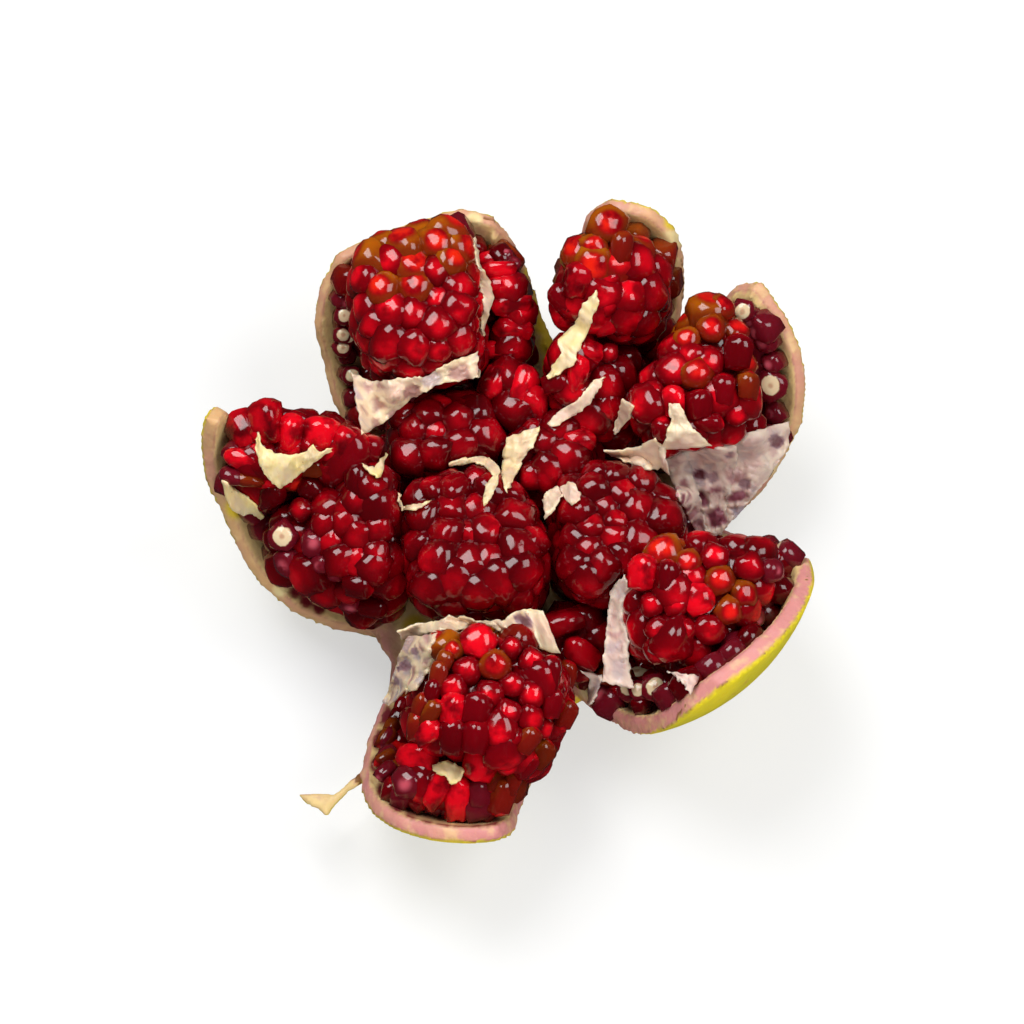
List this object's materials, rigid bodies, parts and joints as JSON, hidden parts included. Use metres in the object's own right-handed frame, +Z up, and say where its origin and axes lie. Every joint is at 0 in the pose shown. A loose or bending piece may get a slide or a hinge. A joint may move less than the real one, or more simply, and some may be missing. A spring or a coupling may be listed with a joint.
{
  "type": "open pomegranate",
  "caption": "Ripe pomegranate torn open like a flower, its rind lobes spread and joined at the stem end, filled with packed red arils and pale septa.",
  "frame": {"origin": "under the middle of the opened fruit's bounding box, on the surface that it stands on", "axes": "+Z up, +Y to the upper lobes of the picture, +X to its right"},
  "size_m": [0.1153, 0.124, 0.0536],
  "materials": {
    "rind": "satin yellow skin, tan and rose torn edge, pale inside",
    "arils": "wet translucent deep red",
    "septa": "matt cream membrane"
  },
  "bodies": {
    "root": {"rind": "rind", "arils_upper_left": "arils", "arils_upper_left_flank": "arils", "arils_upper_left_strip": "arils", "arils_upper_left_foot": "arils", "arils_upper_right": "arils", "arils_upper_right_foot": "arils", "arils_right": "arils", "arils_right_edge": "arils", "arils_lower_right": "arils", "arils_lower_right_pocket": "arils", "arils_bottom": "arils", "arils_bottom_flank": "arils", "arils_bottom_row": "arils", "arils_left": "arils", "arils_left_top": "arils", "arils_centre_back": "arils", "arils_centre": "arils", "arils_centre_right": "arils", "arils_centre_front": "arils", "arils_centre_top": "arils", "septum_right": "septa", "septum_bottom": "septa", "septum_upper_left_ridge": "septa", "septum_upper_left_foot": "septa", "septum_centre_back": "septa", "septum_centre_right": "septa", "septum_bottom_back": "septa", "septum_lower_right": "septa", "septum_right_foot": "septa", "septum_centre_flap": "septa", "placenta_left": "septa", "placenta_upper_right": "septa", "placenta_bottom": "septa"}
  },
  "joints": []
}
